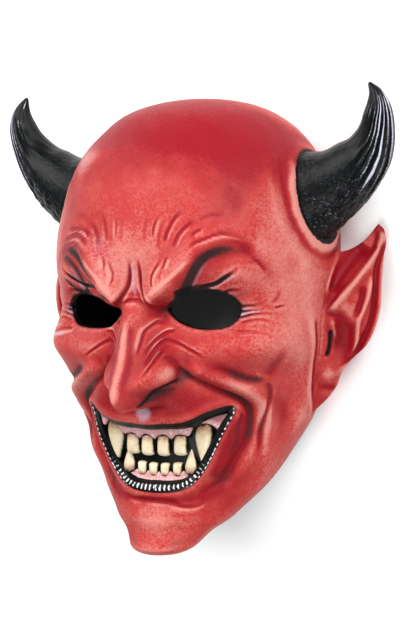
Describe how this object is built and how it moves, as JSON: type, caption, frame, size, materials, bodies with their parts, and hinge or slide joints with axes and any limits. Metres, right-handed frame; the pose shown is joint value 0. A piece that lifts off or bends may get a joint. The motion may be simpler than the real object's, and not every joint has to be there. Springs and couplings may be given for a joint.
{
  "type": "devil mask",
  "caption": "Moulded latex devil mask: hollow horned face and crown with pointed ears, cut-out eye holes and a fanged closed grin, lying on its back rim.",
  "frame": {"origin": "on the ground under the middle of the outline, the mask lying face up on its back rim", "axes": "+X to the mask's own left ear, +Y from chin to crown, +Z from the rim out of the face"},
  "size_m": [0.271, 0.2836, 0.1404],
  "materials": {
    "red_latex": "matt hand-painted latex",
    "horn_black": "glossy black paint on latex",
    "tooth_ivory": "satin ivory paint on latex"
  },
  "bodies": {
    "root": {"mask": "red_latex"}
  },
  "joints": []
}
